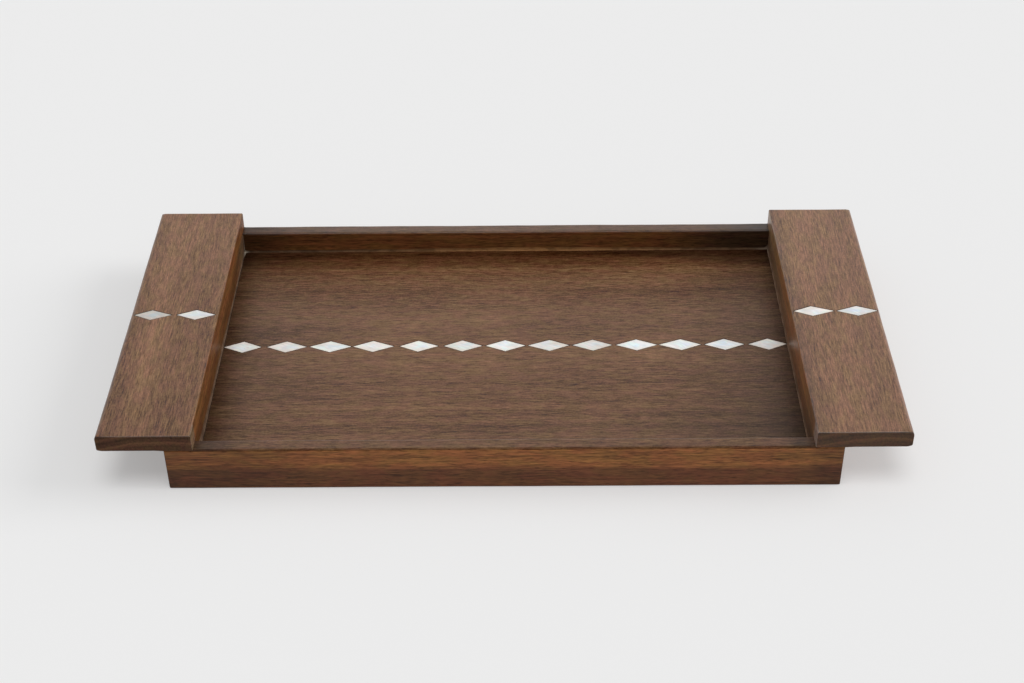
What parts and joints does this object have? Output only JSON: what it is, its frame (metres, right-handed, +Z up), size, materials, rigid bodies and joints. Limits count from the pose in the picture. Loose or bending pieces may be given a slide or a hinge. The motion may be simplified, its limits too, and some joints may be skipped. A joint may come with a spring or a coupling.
{
  "type": "serving tray",
  "caption": "Rectangular walnut serving tray with a shallow well, flat handle boards that reach out over both ends, and a row of mother-of-pearl diamonds along the middle.",
  "frame": {"origin": "middle of the tray's outline on the surface that it stands on, under the frame's lower edges", "axes": "+X along the tray towards the right handle, +Y from the front rail to the back rail, +Z up"},
  "size_m": [0.5, 0.25, 0.0428],
  "materials": {
    "walnut_rail": "satin oiled dark walnut, grain along each rail",
    "walnut_floor": "satin oiled dark walnut, grain along the tray",
    "walnut_handle": "satin oiled dark walnut, grain from front to back",
    "beech_dowel": "bare fluted beech",
    "pearl_inlay": "polished white mother-of-pearl"
  },
  "bodies": {
    "root": {"front_rail": "walnut_rail", "back_rail": "walnut_rail", "left_end_rail": "walnut_rail", "right_end_rail": "walnut_rail", "floor_panel": "walnut_floor", "left_handle": "walnut_handle", "right_handle": "walnut_handle", "left_handle_dowel_1": "beech_dowel", "left_handle_dowel_2": "beech_dowel", "left_handle_dowel_3": "beech_dowel", "right_handle_dowel_1": "beech_dowel", "right_handle_dowel_2": "beech_dowel", "right_handle_dowel_3": "beech_dowel", "left_handle_inlay_1": "pearl_inlay", "left_handle_inlay_2": "pearl_inlay", "right_handle_inlay_1": "pearl_inlay", "right_handle_inlay_2": "pearl_inlay", "floor_inlay_1": "pearl_inlay", "floor_inlay_2": "pearl_inlay", "floor_inlay_3": "pearl_inlay", "floor_inlay_4": "pearl_inlay", "floor_inlay_5": "pearl_inlay", "floor_inlay_6": "pearl_inlay", "floor_inlay_7": "pearl_inlay", "floor_inlay_8": "pearl_inlay", "floor_inlay_9": "pearl_inlay", "floor_inlay_10": "pearl_inlay", "floor_inlay_11": "pearl_inlay", "floor_inlay_12": "pearl_inlay", "floor_inlay_13": "pearl_inlay"}
  },
  "joints": []
}
